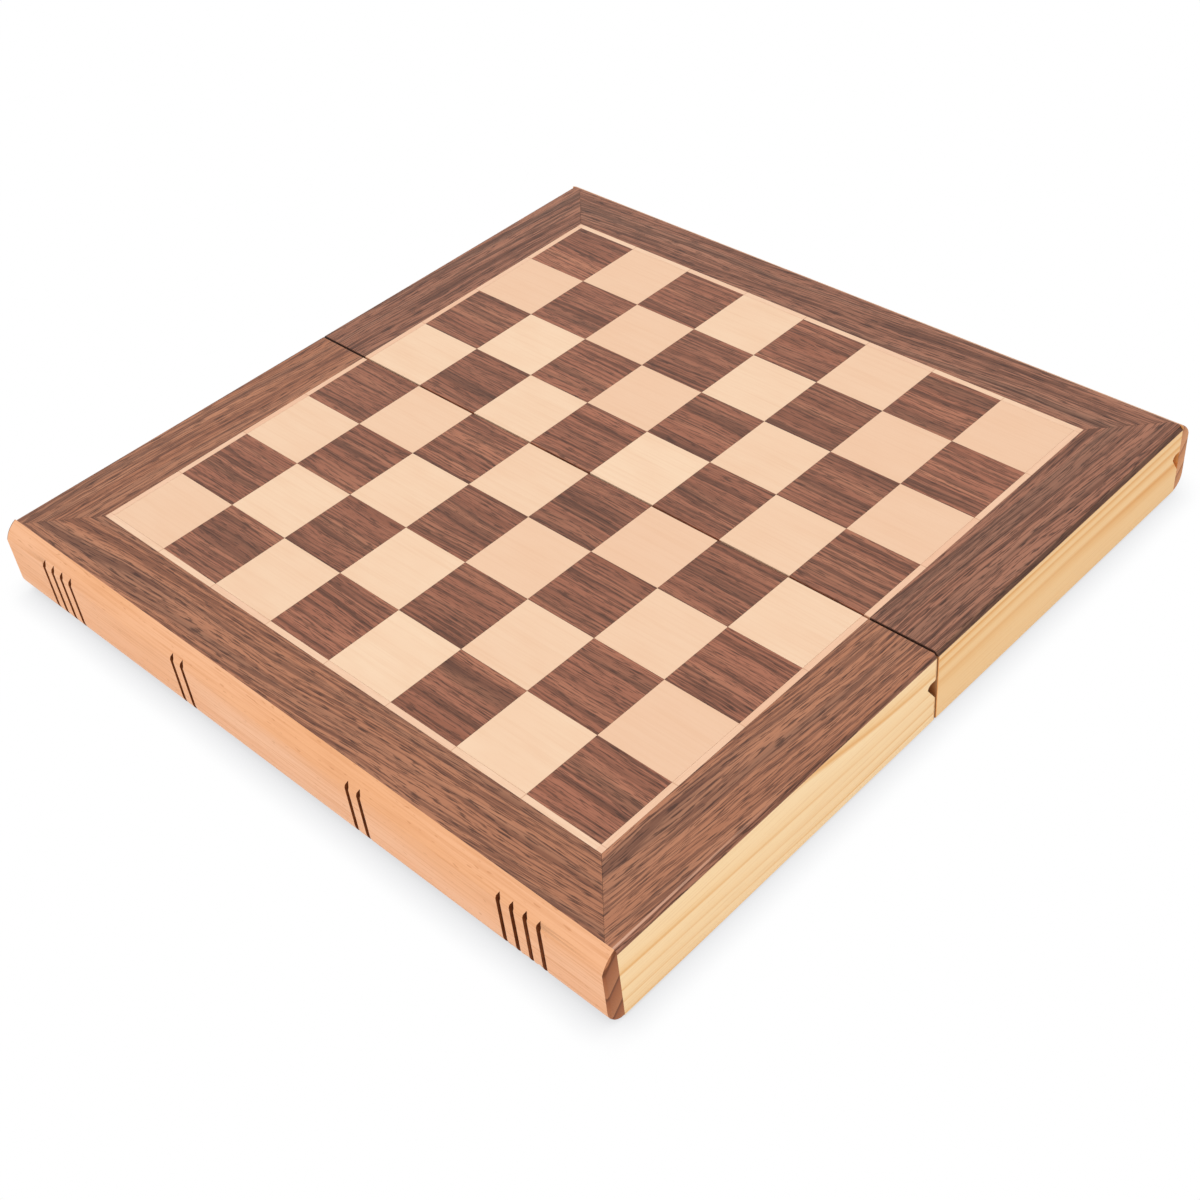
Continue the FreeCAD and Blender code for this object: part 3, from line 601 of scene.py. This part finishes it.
for half in halves:
    for side in ("left", "right"):
        pineWithShade = [pineSides[half], groovePineShade[half]]  # face, and groove and fold with painted shade
        wall = easedCopy(f"{half}_{side}_wall", pineWithShade, onRim)
        print("eased at the fold:", easeEdges(wall.data, onFoldArris, easing["foldWidth"]), "edges")
        paintGroove(wall, half)
        # The side walls' fold ends and fold arrises take the groove's painted shade
        paintFold(wall, 1, leastTurns["foldArris"])
        # The near right arris carries the painted highlight
        arris = walnutArrisHighlight if (half, side) == ("near", "right") else walnutSides[half]
        veneers = [walnutSides[half], walnutBevelShades[half], arris, walnutFoldShade]  # face, bevel with painted shade, arris (painted highlight on the near right), fold with painted shade
        border = easedCopy(f"{half}_{side}_border", veneers, onBorderArris)
        # Faces turned outward: the bevels take their painted shade, the eased arris its own look
        for face in border.data.polygons:
            if abs(face.normal.x) > leastTurns["arris"]:
                face.material_index = 1 if abs(face.normal.x) > leastTurns["bevel"] else 2
        # Painted shade on the walnut faces at the fold
        paintFold(border, 3)
        easedCopy(f"{half}_{side}_stringing", [stringingSides], onFoldEdge, easing["inlayWidth"])
    for place in ("fold", "spine"):
        pineWithShade = [pineEnds, groovePineShade[half], pineGapShade]  # face, groove and fold, both with painted shade
        wall = easedCopy(f"{half}_{place}_wall", pineWithShade, onRim)
        paintGroove(wall, half)
        # Fold faces take the painted shade
        paintFold(wall, 2)
    grains = [alderFaces[half], alderEnds[half], kerfChar, groovePineShade[half]]  # face, ends, kerfs, groove back with painted shade
    spine = easedCopy(f"{half}_spine_strip", grains, onSpineEnd, easing["spineWidth"])
    for face in spine.data.polygons:
        if abs(face.normal.x) > leastTurns["kerfWall"]:
            face.material_index = 1 if abs(face.center.x) > bevelTop * mm else 2
        elif nearTo(abs(face.center.y) / mm, kerfFloor):
            face.material_index = 2
        # The back of the groove takes the pine's painted shade
        elif nearTo(abs(face.center.y) / mm, frameEnd):
            face.material_index = 3
print("edges eased")


# The chequered field: every second square of a half, with a random lot number that picks its veneer
field = {
    "square": 38.0, "jointLine": 0.1, "thickness": 2.2, "columns": 8, "rows": 4,
    "lightSeed": 3, "darkSeed": 11,
}


def chequeredFieldTree():
    tree = bpy.data.node_groups.new("chequeredField", "GeometryNodeTree")
    sockets = (
        ("Square", "NodeSocketFloat"), ("Joint Line", "NodeSocketFloat"), ("Thickness", "NodeSocketFloat"),
        ("Columns", "NodeSocketInt"), ("Rows", "NodeSocketInt"), ("Parity", "NodeSocketInt"),
        ("Middle", "NodeSocketVector"), ("Seed", "NodeSocketInt"), ("Veneer", "NodeSocketMaterial"),
    )
    for name, kind in sockets:
        tree.interface.new_socket(name, in_out="INPUT", socket_type=kind)
    tree.interface.new_socket("Squares", in_out="OUTPUT", socket_type="NodeSocketGeometry")
    given = addNode(tree, "NodeGroupInput").outputs
    spans = []
    for name in ("Columns", "Rows"):
        steps = addNode(tree, "ShaderNodeMath", {0: given[name], 1: 1.0}, operation="SUBTRACT")
        spans.append(addNode(tree, "ShaderNodeMath", {0: steps.outputs[0], 1: given["Square"]},
                             operation="MULTIPLY").outputs[0])
    grid = addNode(tree, "GeometryNodeMeshGrid", {
        "Size X": spans[0], "Size Y": spans[1], "Vertices X": given["Columns"], "Vertices Y": given["Rows"],
    })
    # Vertices run up the rows first, so a square's parity is its column plus its row
    index = addNode(tree, "GeometryNodeInputIndex").outputs["Index"]
    column = addNode(tree, "ShaderNodeMath", {0: index, 1: given["Rows"]}, operation="DIVIDE")
    column = addNode(tree, "ShaderNodeMath", {0: column.outputs[0]}, operation="FLOOR")
    row = addNode(tree, "ShaderNodeMath", {0: index, 1: given["Rows"]}, operation="MODULO")
    total = addNode(tree, "ShaderNodeMath", {0: column.outputs[0], 1: row.outputs[0]}, operation="ADD")
    odd = addNode(tree, "ShaderNodeMath", {0: total.outputs[0], 1: 2.0}, operation="MODULO")
    kept = addNode(tree, "FunctionNodeCompare", {"A": odd.outputs[0], "B": given["Parity"]},
                   data_type="FLOAT", operation="EQUAL")
    chosen = addNode(tree, "GeometryNodeSeparateGeometry", {
        "Geometry": grid.outputs["Mesh"], "Selection": kept.outputs["Result"],
    }, domain="POINT")
    reach = addNode(tree, "ShaderNodeMath", {0: given["Square"], 1: given["Joint Line"]},
                    operation="SUBTRACT")
    blockSize = addNode(tree, "ShaderNodeCombineXYZ", {
        "X": reach.outputs[0], "Y": reach.outputs[0], "Z": given["Thickness"],
    })
    block = addNode(tree, "GeometryNodeMeshCube", {"Size": blockSize.outputs["Vector"]})
    laid = addNode(tree, "GeometryNodeInstanceOnPoints", {
        "Points": chosen.outputs["Selection"], "Instance": block.outputs["Mesh"],
    })
    lot = addNode(tree, "FunctionNodeRandomValue", {"Seed": given["Seed"]}, data_type="FLOAT")
    marked = addNode(tree, "GeometryNodeStoreNamedAttribute", {
        "Geometry": laid.outputs["Instances"], "Name": "veneerLot", "Value": lot.outputs[1],
    }, data_type="FLOAT", domain="INSTANCE")
    solid = addNode(tree, "GeometryNodeRealizeInstances", {"Geometry": marked.outputs["Geometry"]})
    placed = addNode(tree, "GeometryNodeSetPosition", {
        "Geometry": solid.outputs["Geometry"], "Offset": given["Middle"],
    })
    veneered = addNode(tree, "GeometryNodeSetMaterial", {
        "Geometry": placed.outputs["Geometry"], "Material": given["Veneer"],
    })
    addNode(tree, "NodeGroupOutput", {"Squares": veneered.outputs["Geometry"]})
    return tree


def layField(tree, node, values, body):
    maker = bpy.data.objects.new(f"{node}_maker", bpy.data.meshes.new(f"{node}_maker"))
    scene.collection.objects.link(maker)
    modifier = maker.modifiers.new("field", "NODES")
    modifier.node_group = tree
    for item in tree.interface.items_tree:
        if item.in_out == "INPUT":
            modifier[item.identifier] = values[item.name]
    depsgraph = bpy.context.evaluated_depsgraph_get()
    mesh = bpy.data.meshes.new_from_object(
        maker.evaluated_get(depsgraph), preserve_all_data_layers=True, depsgraph=depsgraph)
    maker.modifiers.remove(modifier)
    bpy.data.objects.remove(maker)
    easeEdges(mesh, onFoldEdge, easing["inlayWidth"])
    piece = bpy.data.objects.new(f"{node}_laid", mesh)
    scene.collection.objects.link(piece)
    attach(piece, body)
    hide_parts(node)
    print("field laid:", piece.name, len(mesh.polygons), "faces")


fieldTree = chequeredFieldTree()
for half, direction in halves.items():
    middle = (0.0, direction * (foldEdge + field["rows"] * field["square"] / 2) * mm,
              (surfaceTop - field["thickness"] / 2) * mm)
    for tone, veneer, slotName, parity in (
        ("light", mapleSquares, "maple", 0), ("dark", walnutSquares, "dark_walnut", 1),
    ):
        layField(fieldTree, f"{half}_{tone}_squares", {
            "Square": field["square"] * mm, "Joint Line": field["jointLine"] * mm,
            "Thickness": field["thickness"] * mm, "Columns": field["columns"], "Rows": field["rows"],
            "Parity": parity, "Middle": middle, "Seed": field[f"{tone}Seed"] + direction, "Veneer": veneer,
        }, f"{half}_half")


# Felt lining, cut to the tray and glued flat under the deck panel
felt = {"thickness": 1.1, "glue": 0.06, "cells": (72, 34), "lumps": 0.04, "lumpSize": 9.0}


def layFelt(half):
    low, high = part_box(f"{half}_felt_lining")
    width, length = high.x - low.x, high.y - low.y
    mesh = bpy.data.meshes.new(f"{half}_felt")
    shape = bmesh.new()
    columns, rows = felt["cells"]
    bmesh.ops.create_grid(shape, x_segments=columns, y_segments=rows, size=0.5)
    for vert in shape.verts:
        across, along = vert.co.x * width, vert.co.y * length
        lump = math.sin(across / mm / felt["lumpSize"]) * math.sin(along / mm / felt["lumpSize"])
        vert.co.x = (low.x + high.x) / 2 + across
        vert.co.y = (low.y + high.y) / 2 + along
        vert.co.z = high.z - (felt["glue"] + felt["thickness"]) * mm + lump * felt["lumps"] * mm
    shape.to_mesh(mesh)
    shape.free()
    mesh.materials.append(feltCloth)
    piece = bpy.data.objects.new(f"{half}_felt_sheet", mesh)
    scene.collection.objects.link(piece)
    body = piece.modifiers.new("cloth", "SOLIDIFY")
    body.thickness = felt["thickness"] * mm
    body.offset = 1.0
    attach(piece, f"{half}_half")
    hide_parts(f"{half}_felt_lining")


for half in halves:
    layFelt(half)
print("felt laid")


# Studio: a white sweep of light, a clear floor that keeps a soft contact shadow, and large soft lamps
studio = {
    "floorSize": 8.0, "shadowReach": 15.0, "shadow": [(0.1, "#cfcfd0"), (0.6, "#f0f0f1"), (0.95, "#ffffff")],
    "floorColour": "#f4f4f4", "ambient": 0.8, "backdrop": 1.0,
}
lamps = (
    {"name": "softboxTop", "place": (-0.3, 0.5, 1.7), "size": 1.6, "power": 6.0},
    {"name": "softboxRight", "place": (1.7, -0.9, 1.1), "size": 1.4, "power": 6.0},
    {"name": "softboxFront", "place": (-0.7, -1.9, 0.9), "size": 1.4, "power": 5.5},
)


def seenDirectly(tree):
    # Camera, glossy and transmission rays
    path = addNode(tree, "ShaderNodeLightPath").outputs
    some = addNode(tree, "ShaderNodeMath", {0: path["Is Camera Ray"], 1: path["Is Glossy Ray"]},
                   operation="MAXIMUM")
    return addNode(tree, "ShaderNodeMath", {0: some.outputs[0], 1: path["Is Transmission Ray"]},
                   operation="MAXIMUM").outputs[0]


def makeFloor():
    material, tree = newMaterial("clearFloor")
    contact = addNode(tree, "ShaderNodeAmbientOcclusion", {"Distance": studio["shadowReach"] * mm})
    tint = addNode(tree, "ShaderNodeValToRGB", {"Fac": contact.outputs["AO"]}, studio["shadow"])
    clear = addNode(tree, "ShaderNodeBsdfTransparent", {"Color": tint.outputs["Color"]})
    white = addNode(tree, "ShaderNodeBsdfDiffuse", {"Color": hexColour(studio["floorColour"])})
    mix = addNode(tree, "ShaderNodeMixShader", {
        0: seenDirectly(tree), 1: white.outputs["BSDF"], 2: clear.outputs["BSDF"],
    })
    addNode(tree, "ShaderNodeOutputMaterial", {"Surface": mix.outputs["Shader"]})
    mesh = bpy.data.meshes.new("floor")
    shape = bmesh.new()
    bmesh.ops.create_grid(shape, x_segments=1, y_segments=1, size=studio["floorSize"] / 2)
    shape.to_mesh(mesh)
    shape.free()
    mesh.materials.append(material)
    floor = bpy.data.objects.new("floor", mesh)
    scene.collection.objects.link(floor)


def lightStudio():
    world = bpy.data.worlds.new("studioWorld")
    world.use_nodes = True
    tree = world.node_tree
    tree.nodes.clear()
    strength = addNode(tree, "ShaderNodeMapRange", {
        "Value": seenDirectly(tree), "To Min": studio["ambient"], "To Max": studio["backdrop"],
    })
    glow = addNode(tree, "ShaderNodeBackground", {"Strength": strength.outputs["Result"]})
    glow.inputs["Color"].default_value = hexColour("#ffffff")
    addNode(tree, "ShaderNodeOutputWorld", {"Surface": glow.outputs["Background"]})
    scene.world = world
    for lamp in lamps:
        data = bpy.data.lights.new(lamp["name"], "AREA")
        data.shape = "SQUARE"
        data.size = lamp["size"]
        data.energy = lamp["power"]
        light = bpy.data.objects.new(lamp["name"], data)
        light.location = lamp["place"]
        light.rotation_euler = (-Vector(lamp["place"])).to_track_quat("-Z", "Y").to_euler()
        scene.collection.objects.link(light)


makeFloor()
lightStudio()

# Stands off the near right corner, with a slight roll
camera = {
    "place": (462.1, -417.4, 517.6), "aim": (47.2, -45.0, 20.0), "roll": 6.88, "lens": 52.63, "sensor": 36.0,
}


def placeCamera():
    data = bpy.data.cameras.new("camera")
    data.sensor_width = camera["sensor"]
    data.lens = camera["lens"]
    eye = bpy.data.objects.new("camera", data)
    place, aim = Vector(camera["place"]) * mm, Vector(camera["aim"]) * mm
    look = aim - place
    tilt = Quaternion(look.normalized(), math.radians(camera["roll"]))
    eye.rotation_mode = "QUATERNION"
    eye.rotation_quaternion = tilt @ look.to_track_quat("-Z", "Y")
    eye.location = place
    scene.collection.objects.link(eye)
    scene.camera = eye


placeCamera()
scene.view_settings.view_transform = "Standard"
print("studio set")
